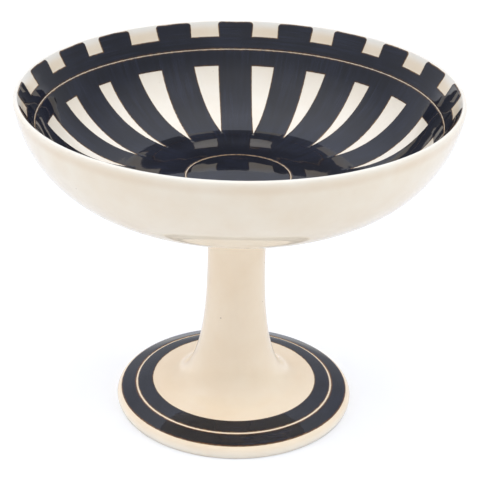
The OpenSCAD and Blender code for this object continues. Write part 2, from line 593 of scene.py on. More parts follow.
class Profile:
    """A turned outline: radius and height against the distance run along it.

    The outline is drawn so that the open air is on the left of the way that it runs.
    """

    STEP = 0.05 * MM
    LEAST_STEP = 1e-9

    def __init__(self, parts: Iterable[Array]) -> None:
        """Joins parts end to end and measures the way along them.

        Args:
            parts: n x 2 arrays of radius and height, each starting where the last one ended.
        """
        rows = np.concatenate([self._fine(part) for part in parts])
        moved = np.linalg.norm(np.diff(rows, axis=0), axis=1) > self.LEAST_STEP
        self.rows: Array = rows[np.concatenate([[True], moved])]
        steps = np.diff(self.rows, axis=0)
        self.way: Array = np.concatenate([[0.0], np.cumsum(np.linalg.norm(steps, axis=1))])
        tangent = np.gradient(self.rows, self.way, axis=0)
        self.normals: Array = np.stack([-tangent[:, 1], tangent[:, 0]], axis=1)
        self.normals /= np.linalg.norm(self.normals, axis=1, keepdims=True)

    def _fine(self, part: Array) -> Array:
        """Cuts a part into even steps of about STEP.

        Args:
            part: n x 2 array of radius and height.

        Returns:
            The same line with more points.
        """
        length = np.concatenate([[0.0], np.cumsum(np.linalg.norm(np.diff(part, axis=0), axis=1))])
        spots = np.linspace(0.0, length[-1], max(2, int(length[-1] / self.STEP)))
        return np.stack([np.interp(spots, length, part[:, i]) for i in (0, 1)], axis=1)

    def at(self, s: Array) -> tuple[Array, Array, Array, Array]:
        """Looks up places on the outline.

        Args:
            s: distances along the outline in metres.

        Returns:
            Radius, height, and the two parts of the normal there.
        """
        columns = (self.rows[:, 0], self.rows[:, 1], self.normals[:, 0], self.normals[:, 1])
        return tuple(np.interp(s, self.way, c) for c in columns)  # type: ignore[return-value]

    def way_at_radius(self, radius: float, upto: float) -> float:
        """Distance along the outline where it first reaches a radius, before distance upto."""
        before = self.way <= upto
        return float(np.interp(radius, self.rows[before, 0], self.way[before]))


@dataclass
class HandWork:
    """How far a thrown wall strays from true: it runs a little inside the true round.

    Attributes:
        oval: how much the wall leans in at the narrow side of its slight oval, in metres.
        oval_r: radius from which the oval is full, in metres.
        turn: angle of the oval's long side, in radians.
        waver: height lost at the lowest places of the lip, in metres.
        ring: depth of the throwing rings left by the fingers, in metres.
        ring_pitch: distance between throwing rings, in metres.
        calm_r: radius inside which there are no rings, in metres.
        calm_w: width over which they then deepen, in metres.
        lean: height lost at the low side of the lip, which does not stand quite level, in metres.
        high_side: angle of its high side, in radians.
        saddle: height lost in front and behind, since the lip also bends like a saddle, in metres.
        level_r: radius that stays level, in metres.
        full_r: radius where the lean and the saddle are full, in metres.
    """

    oval: float = 0.35 * MM
    oval_r: float = 20.0 * MM
    turn: float = 1.5
    waver: float = 0.12 * MM
    ring: float = 0.035 * MM
    ring_pitch: float = 9.0 * MM
    calm_r: float = 8.0 * MM
    calm_w: float = 30.0 * MM
    lean: float = 0.0
    high_side: float = 0.1
    saddle: float = 0.0
    level_r: float = 24.0 * MM
    full_r: float = 136.0 * MM

    # Share, number round the axis and turn of each slow wave of the lip.
    WAVES = ((0.3, 2.0, 1.1), (0.2, 3.0, 0.4))

    def radial(self, theta: Array, radius: Array, share: Array) -> Array:
        """Radial shift: -oval (1 - cos 2(theta - turn)) / 2, grown by share and up to oval_r."""
        share = share * np.minimum(radius / self.oval_r, 1.0)
        return -self.oval * share * 0.5 * (1.0 - np.cos(2.0 * (theta - self.turn)))

    def drop(self, theta: Array, share: Array) -> Array:
        """Height shift: -waver (1/2 + the sum of the slow waves), grown by share."""
        waves = 0.5 + sum(size * np.sin(number * theta + turn) for size, number, turn in self.WAVES)
        return -self.waver * share * waves

    def sag(self, theta: Array, radius: Array) -> Array:
        """Height shift of a lip that leans and bends.

        It is -(lean (1 - cos(theta - high_side)) + saddle (1 - cos 2 theta)) / 2, and grows
        evenly from level_r to full_r.

        Args:
            theta: angles in radians.
            radius: radii in metres.

        Returns:
            The shifts in metres.
        """
        share = np.maximum((radius - self.level_r) / (self.full_r - self.level_r), 0.0)
        lean = self.lean * (1.0 - np.cos(theta - self.high_side))
        return -0.5 * share * (lean + self.saddle * (1.0 - np.cos(2.0 * theta)))

    def rings(self, theta: Array, s: Array, radius: Array) -> Array:
        """Shift along the normal: -ring (1 + sin(2 pi s / pitch + theta)) / 2, a rising spiral."""
        spiral = -self.ring * 0.5 * (1.0 + np.sin(FULL_TURN * s / self.ring_pitch + theta))
        return spiral * smooth_step((radius - self.calm_r) / self.calm_w)


@dataclass
class TurnedForm:
    """A thrown form: an outline turned about the Z axis, with its hand work.

    Attributes:
        profile: the turned outline.
        hand: its unevenness.
        foot_z: height where the unevenness starts to grow.
        head_z: height where it is full.
        scribed: distance along the outline and width of each scribed line, in metres.
        scribe_depth: depth of the scribed lines, in metres.
    """

    profile: Profile
    hand: HandWork
    foot_z: float
    head_z: float
    scribed: tuple[tuple[float, float], ...] = ()
    scribe_depth: float = 0.15 * MM

    def point(self, s: Array, theta: Array, lift: Array | float = 0.0) -> Array:
        """Places on the form.

        With radius r, height z and normal n of the outline at s, the place is
        (r + shift) (cos theta, sin theta), z + drop + sag, moved along n by the lift, the rings
        and the scribed lines, which sink by depth (1 - (2 d / width)^2) at a distance d.

        Args:
            s: distance along the outline in metres.
            theta: angle about the axis in radians, of the same shape.
            lift: height above the clay in metres.

        Returns:
            An array of the same shape with a last axis of x, y, z.
        """
        r, z, nr, nz = self.profile.at(s)
        share = smooth_step((z - self.foot_z) / (self.head_z - self.foot_z))
        out = lift + self.hand.rings(theta, s, r)
        for way, width in self.scribed:
            out = out - self.scribe_depth * np.maximum(1.0 - (2.0 * (s - way) / width) ** 2, 0.0)
        z = z + nz * out + self.hand.drop(theta, share) + self.hand.sag(theta, r)
        r = r + nr * out + self.hand.radial(theta, r, share)
        return np.stack([r * np.cos(theta), r * np.sin(theta), z], axis=-1)

    def turned(self, name: str, stations: Array, columns: int, lifts: Array | None = None) -> Piece:
        """Makes one closed piece whose stations run from pole to pole.

        Each inner station is a ring of columns points, and a fan closes each pole.

        Args:
            name: the piece's name.
            stations: distances along the outline, from one point on the axis to another.
            columns: points round each ring.
            lifts: height of each station above the clay, or None for the clay itself.

        Returns:
            The piece.
        """
        lifts = np.zeros(len(stations)) if lifts is None else lifts
        inner = stations[1:-1]
        s_grid, t_grid = np.meshgrid(inner, np.arange(columns) * FULL_TURN / columns, indexing="ij")
        poles = self.point(stations[[0, -1]], np.zeros(2), lifts[[0, -1]])
        rings = self.point(s_grid, t_grid, np.repeat(lifts[1:-1, None], columns, axis=1))
        points = np.concatenate([rings.reshape(-1, 3), poles])
        i, j = np.meshgrid(np.arange(len(inner) - 1), np.arange(columns), indexing="ij")
        quads = cell_corners(i, j, columns).reshape(-1, 4)
        j, k = np.arange(columns), (np.arange(columns) + 1) % columns
        first, last = len(points) - 2, len(points) - 1
        low = (len(inner) - 1) * columns
        caps = np.concatenate([np.stack([np.full(columns, first), j, k], axis=1),
                               np.stack([low + k, low + j, np.full(columns, last)], axis=1)])
        piece = make_mesh(name, points, quads, caps)
        set_value(piece, "way_mm", np.concatenate([s_grid.ravel(), stations[[0, -1]]]) / MM)
        return piece


@dataclass
class SlipCoat:
    """A coat of slip: a thin closed sheet on a form, rounded down to the clay at its edges.

    Attributes:
        form: the clay form that carries it.
        thickness: height of its surface above the clay, in metres.
        round_w: width over which its edge rounds down, in metres.
        sink: how far its hidden side lies inside the clay, in metres.
    """

    form: TurnedForm
    thickness: float = 0.26 * MM
    round_w: float = 0.7 * MM
    sink: float = 0.10 * MM

    # Distances of the close rows from an edge, and of the rows between from each other.
    EDGE_STEPS = np.array([0.0, 0.12, 0.3, 0.55, 0.9, 1.4, 2.2]) * MM
    PITCH = 2.0 * MM

    def lift(self, edge: Array) -> Array:
        """Height above the clay: thickness sqrt(1 - (1 - edge / round_w)^2)."""
        x = 1.0 - np.clip(edge / self.round_w, 0.0, 1.0)
        return self.thickness * np.sqrt(1.0 - x * x)

    def sheet(self, name: str, s: Array, theta: Array, edge: Array, keep: Array) -> Piece:
        """Makes the coat from a grid that closes round the axis.

        The upper side rounds down to the clay at its edges, the lower side lies sink below the
        clay, and side walls close the sheet along its free edges.

        Args:
            name: the piece's name.
            s: rows x columns distances along the form's outline.
            theta: rows x columns angles.
            edge: rows x columns distances to the nearest free edge, in metres.
            keep: (rows - 1) x columns flags for the cells that exist.

        Returns:
            The piece, with its edge distance and its way along the outline on its points.
        """
        upper = self.form.point(s, theta, self.lift(edge)).reshape(-1, 3)
        lower = self.form.point(s, theta, np.full_like(s, -self.sink)).reshape(-1, 3)
        top = cell_corners(*np.nonzero(keep), s.shape[1])
        count = s.size
        a, b = top.ravel(), np.roll(top, -1, axis=1).ravel()
        free = ~np.isin(a * count + b, b * count + a)
        a, b = a[free], b[free]
        sides = np.stack([b, a, a + count, b + count], axis=1)
        quads = np.concatenate([top, top[:, ::-1] + count, sides])
        used, quads = np.unique(quads, return_inverse=True)
        piece = make_mesh(name, np.concatenate([upper, lower])[used], quads.reshape(-1, 4))
        set_value(piece, "edge_mm", np.tile(edge.ravel(), 2)[used] / MM)
        set_value(piece, "way_mm", np.tile(s.ravel(), 2)[used] / MM)
        return piece

    def ring(self, name: str, s0: float, s1: float, columns: int) -> Piece:
        """Makes a plain ring.

        Args:
            name: the piece's name.
            s0: where it starts along the outline, in metres.
            s1: where it ends.
            columns: points round it.

        Returns:
            The piece.
        """
        inner, outer = s0 + self.EDGE_STEPS, s1 - self.EDGE_STEPS[::-1]
        middle = np.linspace(inner[-1], outer[0], max(3, int((s1 - s0) / self.PITCH)))[1:-1]
        stations = np.concatenate([inner, middle, outer])
        s, theta = np.meshgrid(stations, np.arange(columns) * FULL_TURN / columns, indexing="ij")
        edge = np.minimum(s1 - s, s - s0)
        return self.sheet(name, s, theta, edge, np.ones((len(stations) - 1, columns), bool))

    def disc(self, name: str, s1: float, columns: int) -> Piece:
        """Makes a plain disc from the axis outward, and back to the axis below.

        Args:
            name: the piece's name.
            s1: where it ends along the outline, in metres.
            columns: points round it.

        Returns:
            The piece.
        """
        middle = np.linspace(0.0, s1 - self.EDGE_STEPS[-1], int(s1 / self.PITCH))[:-1]
        upper = np.concatenate([middle, s1 - self.EDGE_STEPS[::-1]])
        stations = np.concatenate([upper, upper[::-2]])
        lifts = np.concatenate([self.lift(s1 - upper), np.full(len(upper[::-2]), -self.sink)])
        stations[-1] = 0.0
        piece = self.form.turned(name, stations, columns, lifts)
        way = np.concatenate([np.repeat(stations[1:-1], columns), stations[[0, -1]]])
        set_value(piece, "edge_mm", (s1 - way) / MM)
        return piece


# The bowl's pattern

@dataclass(frozen=True)
class Ray:
    """One pale ray, as the brush left it.

    Attributes:
        width: width of its square top, in millimetres.
        turn: turn from its even place, in degrees.
        tip_r: radius of its tip, in millimetres.
        lean: turn of its tip from its top, in degrees.
    """

    width: float
    turn: float
    tip_r: float
    lean: float


@dataclass
class RayPattern:
    """The repeating pattern inside the bowl: rays, and rim gaps above them.

    The ten rays on the far side differ a little, as brushed ones do, and the near side repeats
    them. Each rim gap is set out from its ray, a fixed ratio wider.

    Attributes:
        count: number of rays and of rim gaps.
        turn: angle of the first far-side ray from +X, in degrees.
        gap_ratio: width of a rim gap as a ratio of its ray's width.
        gap_off: how far toward +Y the gaps' own centre lies from the axis, in metres.
        gap_r: radius of the rim where they were set out, in metres.
        swell_share: how much a ray swells past a straight taper.
        lean_power: how strongly the lean gathers toward the tip.
        rays: the rays of the far side, in falling order of angle.
    """

    count: int = 20
    turn: float = 173.6
    gap_ratio: float = 1.16
    gap_off: float = 3.8 * MM
    gap_r: float = 136.0 * MM
    swell_share: float = 0.40
    lean_power: float = 1.6
    rays: tuple[Ray, ...] = (Ray(15.5, 0.2, 71.0, -0.5), Ray(13.0, 0.6, 71.0, 1.0),
                             Ray(10.5, 1.5, 65.0, -1.5), Ray(17.5, 1.4, 65.0, -1.5),
                             Ray(16.5, -0.2, 71.0, -1.5), Ray(15.0, -0.9, 69.0, -0.5),
                             Ray(13.5, -1.0, 69.0, 0.0), Ray(12.0, -0.6, 68.0, -1.0),
                             Ray(16.5, -0.1, 70.0, -2.0), Ray(13.0, -0.7, 72.0, -2.0))

    def column(self, name: str) -> Array:
        """One size of every ray round the bowl, in rising order of angle."""
        return np.resize([getattr(ray, name) for ray in self.rays], self.count)[::-1]

    def angles(self) -> Array:
        """Angles of the rays' tops: turn - 360 k / count + their own turns, in radians."""
        even = self.turn - np.arange(self.count)[::-1] * 360.0 / self.count
        return np.radians(even + self.column("turn"))

    def gap_angles(self) -> Array:
        """Angles of the rim gaps: each ray's angle a, moved by gap_off cos a / gap_r."""
        return self.angles() + self.gap_off / self.gap_r * np.cos(self.angles())

    def ray_at(self, share_up: Array) -> tuple[Array, Array]:
        """Middle and half width of each ray at a share u of its height.

        The middle is the ray's angle + its lean (1 - u)^lean_power, and the half width is half
        its top width u (1 + swell (1 - u)).

        Args:
            share_up: rows x count x columns shares.

        Returns:
            Angles, and half widths in metres.
        """
        u = np.clip(share_up, 0.0, 1.0)
        lean = np.radians(self.column("lean"))[None, :, None]
        top_half = 0.5 * MM * self.column("width")[None, :, None]
        middle = self.angles()[None, :, None] + lean * (1.0 - u) ** self.lean_power
        return middle, top_half * u * (1.0 + self.swell_share * (1.0 - u))


@dataclass
class PatternGrid:
    """Columns that follow the pattern round the bowl, so that cells end on its edges.

    For each of the rays there is a block of columns across the pale shape and a block across
    the black between it and the next, with close columns beside each edge.

    Attributes:
        pale_cells: cells across a pale shape.
        black_cells: even cells across the black.
        edge_share: largest share of the black that the close columns of one edge take.
        least_half: half width that the pale block keeps at and below a ray's tip, in metres.
        spread: how fast it widens below the tip.
        most_share: largest share of a ray's place that it takes there.
        steps: distances of the close columns from an edge.
    """

    pale_cells: int = 6
    black_cells: int = 9
    edge_share: float = 0.38
    least_half: float = 0.12 * MM
    spread: float = 0.25
    most_share: float = 0.25
    steps: Array = field(default_factory=lambda: SlipCoat.EDGE_STEPS[1:])

    def theta(self, centres: Array, halves: Array, radius: Array) -> Array:
        """Angles of the columns.

        Across the pale shape they are centre + half f, with f from -1 to 1. Across the black
        they stand at the fine steps in from both edges, and evenly between.

        Args:
            centres: rows x count x 1 angles of the pale shapes' middles.
            halves: rows x count x 1 half widths as angles.
            radius: rows x count x 1 radii.

        Returns:
            rows x (count * columns) angles.
        """
        f = np.linspace(-1.0, 1.0, self.pale_cells + 1)
        pale = centres + halves * f
        start = centres + halves
        end = np.roll(centres - halves, -1, axis=1)
        end = np.where(end < start, end + FULL_TURN, end)
        span = end - start
        most = self.edge_share * span
        near = most * np.minimum(1.0, self.steps[-1] / (most * radius)) * (self.steps / self.steps[-1])
        share = np.linspace(0.0, 1.0, self.black_cells + 1)[1:-1]
        middle = start + near[..., -1:] + (span - 2.0 * near[..., -1:]) * share
        grid = np.concatenate([pale, start + near, middle, (end - near)[..., ::-1]], axis=2)
        return grid.reshape(len(grid), -1)

    def halves_below(self, drop: Array, room: Array) -> Array:
        """Half width of the pale block below a tip: least_half + spread drop, within its room."""
        return np.minimum(self.least_half + self.spread * drop, self.most_share * room)

    def block(self) -> Array:
        """Share across the black for each column.

        Returns:
            0 on the pale shape, rising to 1 at the next.
        """
        total = 2 * len(self.steps) + self.black_cells - 1
        rising = np.arange(1, total + 1) / (total + 1)
        return np.concatenate([np.zeros(self.pale_cells + 1), rising])

    def pale_columns(self, count: int) -> Array:
        """Flags for the cells across the pale shapes, for count shapes."""
        return np.tile(np.arange(len(self.block())) < self.pale_cells, count)

    def blend(self, values: Array) -> Array:
        """Blends each value into the next round the axis by a smooth share.

        Args:
            values: one value for each pale shape.

        Returns:
            One value for each column of the whole round.
        """
        ease = smooth_step(self.block())
        return (values[:, None] * (1.0 - ease) + np.roll(values, -1)[:, None] * ease).ravel()


# Sub-assemblies

@dataclass
class Bowl:
    """The thrown bowl with its slip coats.

    Attributes:
        outer_d: diameter that the wall's outer curve would reach, in metres.
        floor_r: radius of the flat floor, in metres.
        floor_t: thickness of the floor, in metres.
        dip: how far the middle of the floor lies below its rim, in metres.
        dip_r: radius where the dip starts to ease out, in metres.
        dip_w: width over which it eases out, in metres.
        wall_t: difference between the outer and the inner curve's radius, in metres.
        wall_angle: angle of the upper inner wall above the horizontal, in degrees.
        lip_r: half the wall's thickness at the lip, in metres.
        lip_turn: angle by which the outer curve ends short of the lip's middle, in radians.
        lip_pull: length of the lip's outer curve handle at the crest, in metres.
        side_pull: length of that curve's handle at the side, in metres.
        crest_r: radius of the lip's tighter inner side, in metres.
        boss_drop: how far the underside drops to the joint, in metres.
        collar_r: radius of the joint's face, in metres.
        rim_band_w: plan width from the crest to the scribed line, in metres.
        tooth_l: plan length of the rim gaps, in metres.
        tooth_end: how far below the crest the teeth end, in metres.
        corner_r: radius of the teeth's upper corners, in metres.
        ragged: how far the teeth's ends stray, in metres.
        ray_ring_w: plan width of the black ring above the rays, in metres.
        centre_r: radius of the scribed circle, in metres.
        line_w: width of the scribed lines, in metres.
        lean: how far the lip leans, in metres.
        saddle: how far it bends like a saddle, in metres.
        columns: points round the clay.
        disc_columns: points round the centre disc.
        pattern: the rays and rim gaps.
        grid: the columns that follow them.
    """

    outer_d: float = 276.3 * MM
    floor_r: float = 63.0 * MM
    floor_t: float = 11.3 * MM
    dip: float = 0.9 * MM
    dip_r: float = 55.0 * MM
    dip_w: float = 22.0 * MM
    wall_t: float = 7.15 * MM
    wall_angle: float = 60.0
    lip_r: float = 1.7 * MM
    lip_turn: float = 0.014
    lip_pull: float = 1.6 * MM
    side_pull: float = 1.5 * MM
    crest_r: float = 0.8 * MM
    boss_drop: float = 2.4 * MM
    collar_r: float = 24.0 * MM
    rim_band_w: float = 10.9 * MM
    tooth_l: float = 6.4 * MM
    tooth_end: float = 1.0 * MM
    corner_r: float = 2.4 * MM
    ragged: float = 0.07 * MM
    ray_ring_w: float = 5.8 * MM
    centre_r: float = 32.8 * MM
    line_w: float = 0.4 * MM
    lean: float = 0.85 * MM
    saddle: float = 0.45 * MM
    columns: int = 512
    disc_columns: int = 144
    pattern: RayPattern = field(default_factory=RayPattern)
    grid: PatternGrid = field(default_factory=PatternGrid)

    # Number round the axis and turn of each wave in the teeth's ragged ends.
    RAGGED_WAVES = ((31.0, 0.0), (53.0, 1.0))
    # Rows from the scribed circle to the tips, along the rays, across the rim band and its teeth.
    FLOOR_ROWS, RAY_ROWS, BAND_ROWS, TOOTH_ROWS = 12, 27, 4, 20
    # Places of the two rows between the rays' tops and the rim's scribed line.
    THIRDS = np.array([0.33, 0.67])
    # Number of the clay's even rings, and reach and number of the close ones at each scribed line
    # and at the joint's edge. Those of the lip reach unevenly before and past the crest.
    EVEN_RINGS = 128
    LINE_RINGS = (1.2 * MM, 9)
    CORNER_RINGS = (0.4 * MM, 3)
    LIP_RINGS = (4.0 * MM, 9.0 * MM, 30)

    def __post_init__(self) -> None:
        """Works out the outline from the frame's lowest point and the sizes."""
        joint_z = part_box("bowl")[0][2] + JOINT_RISE
        under_z = joint_z + self.boss_drop
        floor_z = under_z + self.floor_t
        outer_r = self.outer_d / 2.0 - self.floor_r
        outer_c = np.array([self.floor_r, under_z + outer_r])
        cove_r = outer_r - self.wall_t
        angle = math.radians(self.wall_angle)
        along = np.array([math.cos(angle), math.sin(angle)])
        outward = np.array([math.sin(angle), -math.cos(angle)])
        foot = np.array([self.floor_r, floor_z + cove_r]) + cove_r * outward
        lip_c = self._lip_centre(foot + self.lip_r * outward, along, outer_c, outer_r)
        rise = (lip_c[1] + self.lip_r - self.crest_r * (1.0 - along[0]) - foot[1]) / along[1]
        crest_c = foot + rise * along + self.crest_r * outward
        floor_line = np.linspace(0.0, self.floor_r, FLOOR_POINTS)
        floor = np.stack([floor_line, np.full(FLOOR_POINTS, floor_z)], axis=1)
        cove = arc((self.floor_r, floor_z + cove_r), cove_r, -90.0, self.wall_angle - 90.0)
        inside = [self._dipped(floor), self._dipped(cove),
                  np.array([foot, crest_c - self.crest_r * outward]),
                  arc(tuple(crest_c), self.crest_r, 90.0 + self.wall_angle, 90.0)]
        crest = crest_c + np.array([0.0, self.crest_r])
        turn_out = math.atan2(lip_c[1] - outer_c[1], lip_c[0] - outer_c[0]) - self.lip_turn
        side = outer_c + outer_r * np.array([math.cos(turn_out), math.sin(turn_out)])
        down = np.array([math.sin(turn_out), -math.cos(turn_out)])
        lip_handle = crest + np.array([self.lip_pull, 0.0])
        outside = [bezier(crest, lip_handle, side - self.side_pull * down, side),
                   arc(tuple(outer_c), outer_r, math.degrees(turn_out), -90.0),
                   np.array([[self.floor_r, under_z], [self.collar_r, joint_z], [0.0, joint_z]])]
        self.crest_way = float(Profile(inside).way[-1])
        profile = Profile(inside + outside)
        line_r = lip_c[0] - self.rim_band_w
        self.line_way = profile.way_at_radius(line_r, self.crest_way)
        scribed = ((self.line_way, self.line_w), (self.centre_r, self.line_w))
        hand = HandWork(lean=self.lean, saddle=self.saddle)
        self.form = TurnedForm(profile, hand, floor_z, lip_c[1], scribed)
        self.coat = SlipCoat(self.form)
        self.root_way = self._way(lip_c[0] - self.tooth_l)
        self.top_way = self._way(line_r - 0.5 * self.line_w - self.ray_ring_w)
        self.field_in = self.centre_r + 0.5 * self.line_w
        self.field_out = self.line_way - 0.5 * self.line_w

    def _lip_centre(self, start: Array, along: Array, outer_c: Array, outer_r: float) -> Array:
        """Centre of the lip's circle, which touches the outer curve from inside.

        It is the place on the line start + reach along at a distance outer_r - lip_r from the
        outer curve's centre.

        Args:
            start: a place on that line.
            along: the line's direction.
            outer_c: centre of the outer curve.
            outer_r: its radius in metres.

        Returns:
            Radius and height of the centre.
        """
        start = start - outer_c
        near = float(start @ along)
        reach = math.sqrt(near ** 2 - float(start @ start) + (outer_r - self.lip_r) ** 2) - near
        return outer_c + start + reach * along

    def _dipped(self, part: Array) -> Array:
        """Lowers points by the dip, which eases out from dip_r over dip_w."""
        ease = 1.0 - smooth_step((part[:, 0] - self.dip_r) / self.dip_w)
        return part - np.stack([np.zeros(len(part)), self.dip * ease], axis=1)

    def _way(self, radius: float) -> float:
        """Distance along the inside where it reaches a radius."""
        return self.form.profile.way_at_radius(radius, self.crest_way)

    def clay(self) -> Piece:
        """Makes the clay shell, with closer rings at the lip and at the scribed lines.

        Returns:
            The piece.
        """
        end = self.form.profile.way[-1]
        lines = [around(way, *self.LINE_RINGS) for way in (self.line_way, self.centre_r)]
        before, past, count = self.LIP_RINGS
        lip = np.linspace(self.crest_way - before, self.crest_way + past, count)
        corner = around(end - self.collar_r, *self.CORNER_RINGS)
        stations = merged_places(end, self.EVEN_RINGS, *lines, lip, corner)
        return self.form.turned("bowl_clay", stations, self.columns)

    def _field_rows(self, tips: Array) -> tuple[Array, slice]:
        """Rows of the black field, which run along the tips and tops of the rays.

        Args:
            tips: distance of each ray's tip along the inside.

        Returns:
            Rows x columns distances, and the rows of cells that the rays cut.
        """
        steps = SlipCoat.EDGE_STEPS[:, None]
        tip = self.grid.blend(tips)
        low = np.tile(self.field_in + steps, (1, len(tip)))
        inner = low[-1] + (tip - low[-1]) * np.linspace(0.0, 1.0, self.FLOOR_ROWS)[1:, None]
        cut = tip + (self.top_way - tip) * np.linspace(0.0, 1.0, self.RAY_ROWS)[1:, None]
        high = np.tile(self.top_way + steps[1:], (1, len(tip)))
        last = np.tile(self.field_out - steps[::-1], (1, len(tip)))
        plain = high[-1] + (last[0] - high[-1]) * self.THIRDS[:, None]
        first = len(low) + len(inner) - 1
        return np.concatenate([low, inner, cut, high, plain, last]), slice(first, first + len(cut))

    def ray_field(self) -> Piece:
        """Makes the black field with its rays left bare.

        Returns:
            The piece.
        """
        pattern, grid = self.pattern, self.grid
        tips = np.array([self._way(tip_r * MM) for tip_r in pattern.column("tip_r")])
        s, cut = self._field_rows(tips)
        radius = self.form.profile.at(s)[0]
        blocks = s.reshape(len(s), pattern.count, -1)
        own_radius = radius.reshape(blocks.shape)[:, :, :1]
        middle, half = self._ray_at(blocks, tips)
        drop = np.maximum(tips[None, :, None] - blocks, 0.0)
        below = grid.halves_below(drop, own_radius * FULL_TURN / pattern.count)
        halves = np.maximum(half, below)[:, :, :1] / own_radius
        theta = grid.theta(middle[:, :, :1], halves, own_radius)
        keep = np.ones((len(s) - 1, s.shape[1]), bool)
        keep[cut] &= ~grid.pale_columns(pattern.count)
        edge = np.minimum(np.minimum(s - self.field_in, self.field_out - s),
                          self._ray_distance(s, theta, radius, tips))
        return self.coat.sheet("ray_field_slip", s, theta, edge, keep)

    def _ray_at(self, s: Array, tips: Array) -> tuple[Array, Array]:
        """Middle angle and half width of each ray at distances along the inside.

        Args:
            s: rows x count x columns distances.
            tips: distance of each ray's tip.

        Returns:
            Angles, and half widths in metres.
        """
        tips = tips[None, :, None]
        return self.pattern.ray_at((s - tips) / (self.top_way - tips))

    def _ray_distance(self, s: Array, theta: Array, radius: Array, tips: Array) -> Array:
        """Distance from each grid point to the nearest ray, measured on the clay.

        It is the root of aside^2 + below^2 + above^2: past the ray's side, below its tip and
        above its top.

        Args:
            s: rows x columns distances along the inside.
            theta: rows x columns angles.
            radius: rows x columns radii.
            tips: distance of each ray's tip.

        Returns:
            Rows x columns distances in metres.
        """
        centre, half = self._ray_at(np.repeat(s[:, None, :], len(tips), axis=1), tips)
        swing = turn_between(theta[:, None, :], centre)
        aside = np.maximum(swing * radius[:, None, :] - half, 0.0)
        below = np.maximum(tips[None, :, None] - s[:, None, :], 0.0)
        above = np.maximum(s[:, None, :] - self.top_way, 0.0)
        return np.sqrt(aside ** 2 + below ** 2 + above ** 2).min(axis=1)

    def rim(self) -> Piece:
        """Makes the black rim band with its square teeth, their upper corners rounded.

        Returns:
            The piece.
        """
        pattern, grid, steps = self.pattern, self.grid, SlipCoat.EDGE_STEPS
        start = self.line_way + 0.5 * self.line_w
        low, under = start + steps, self.root_way - steps[::-1]
        band = np.concatenate([low, np.linspace(low[-1], under[0], self.BAND_ROWS)[1:-1], under])
        tall = self.crest_way - self.root_way
        teeth = self.root_way + tall * np.linspace(0.0, 1.0, self.TOOTH_ROWS)[1:]
        rows = len(band) + len(teeth)
        even = np.tile(np.concatenate([band, teeth])[:, None], (1, pattern.count * len(grid.block())))
        radius = self.form.profile.at(even)[0]
        own_radius = radius.reshape(rows, pattern.count, -1)[:, :, :1]
        centres = pattern.gap_angles()[None, :, None]
        halves = 0.5 * MM * pattern.gap_ratio * pattern.column("width")[None, :, None]
        theta = grid.theta(np.repeat(centres, rows, axis=0), halves / own_radius, own_radius)
        swing = turn_between(theta[:, None, :], centres)
        aside = np.maximum((swing * radius[:, None, :] - halves).min(axis=1), 0.0)
        reach = (self._tooth_ends(theta, aside) - self.root_way) / tall
        s = np.where(even > self.root_way, self.root_way + (even - self.root_way) * reach, even)
        keep = np.ones((rows - 1, s.shape[1]), bool)
        keep[len(band) - 1:] &= ~grid.pale_columns(pattern.count)
        to_gap = np.hypot(aside, np.maximum(self.root_way - s, 0.0))
        edge = np.minimum(np.minimum(s - start, to_gap), np.maximum(s[-1:] - s, 0.0))
        return self.coat.sheet("rim_band_slip", s, theta, edge, keep)

    def _tooth_ends(self, theta: Array, aside: Array) -> Array:
        """Distance along the inside where the teeth end.

        At a distance a from a gap it is corner_r (1 - sqrt(1 - x^2)) short of the full length,
        with x = 1 - a / corner_r, and the ragged waves are added.

        Args:
            theta: rows x columns angles.
            aside: rows x columns distances from the nearest gap.

        Returns:
            Rows x columns distances.
        """
        x = 1.0 - np.clip(aside / self.corner_r, 0.0, 1.0)
        corner = self.corner_r * (1.0 - np.sqrt(1.0 - x * x))
        waves = sum(np.sin(theta * number + turn) for number, turn in self.RAGGED_WAVES)
        return self.crest_way - self.tooth_end - corner + self.ragged * waves

    def disc(self) -> Piece:
        """Makes the black disc inside the scribed circle."""
        return self.coat.disc("centre_disc_slip", self.centre_r - 0.5 * self.line_w, self.disc_columns)

    def build(self, round_slip: Material) -> list[Piece]:
        """Makes and dresses the bowl and its slip coats.

        Args:
            round_slip: the slip that is brushed on round the turning wheel.

        Returns:
            The pieces.
        """
        lip = self.crest_way / MM
        # Painted light: a whiter band round the inner wall, brightening the pale rays as more light
        # would.
        painted_light_inner_wall = ColourBand(97.0, 55.0, 0.75, "#F8EFDF")
        tan_inside = ColourBand(lip - 8.5, 7.0, 0.25, "#D8B98A")
        tan_outside = ColourBand(lip + 6.5, 4.5, 0.2, "#D0AA7C")
        # Painted highlight: a whitish band along the lip, standing in for its reflection.
        painted_highlight_lip = ColourBand(lip - 1.0, 6.0, 0.85, "#EFEADF")
        clay = GlazedClay("glazed_clay_bowl", bands=(painted_light_inner_wall, tan_inside, tan_outside, painted_highlight_lip))
        outward_slip = BlackSlip("black_slip_outward", BrushWay.OUTWARD)
        return [dress(self.clay(), "bowl", "glazed_clay", clay.material()),
                dress(self.rim(), "rim_band", "black_slip", round_slip),
                dress(self.ray_field(), "ray_field", "black_slip", outward_slip.material()),
                dress(self.disc(), "centre_disc", "black_slip", round_slip)]


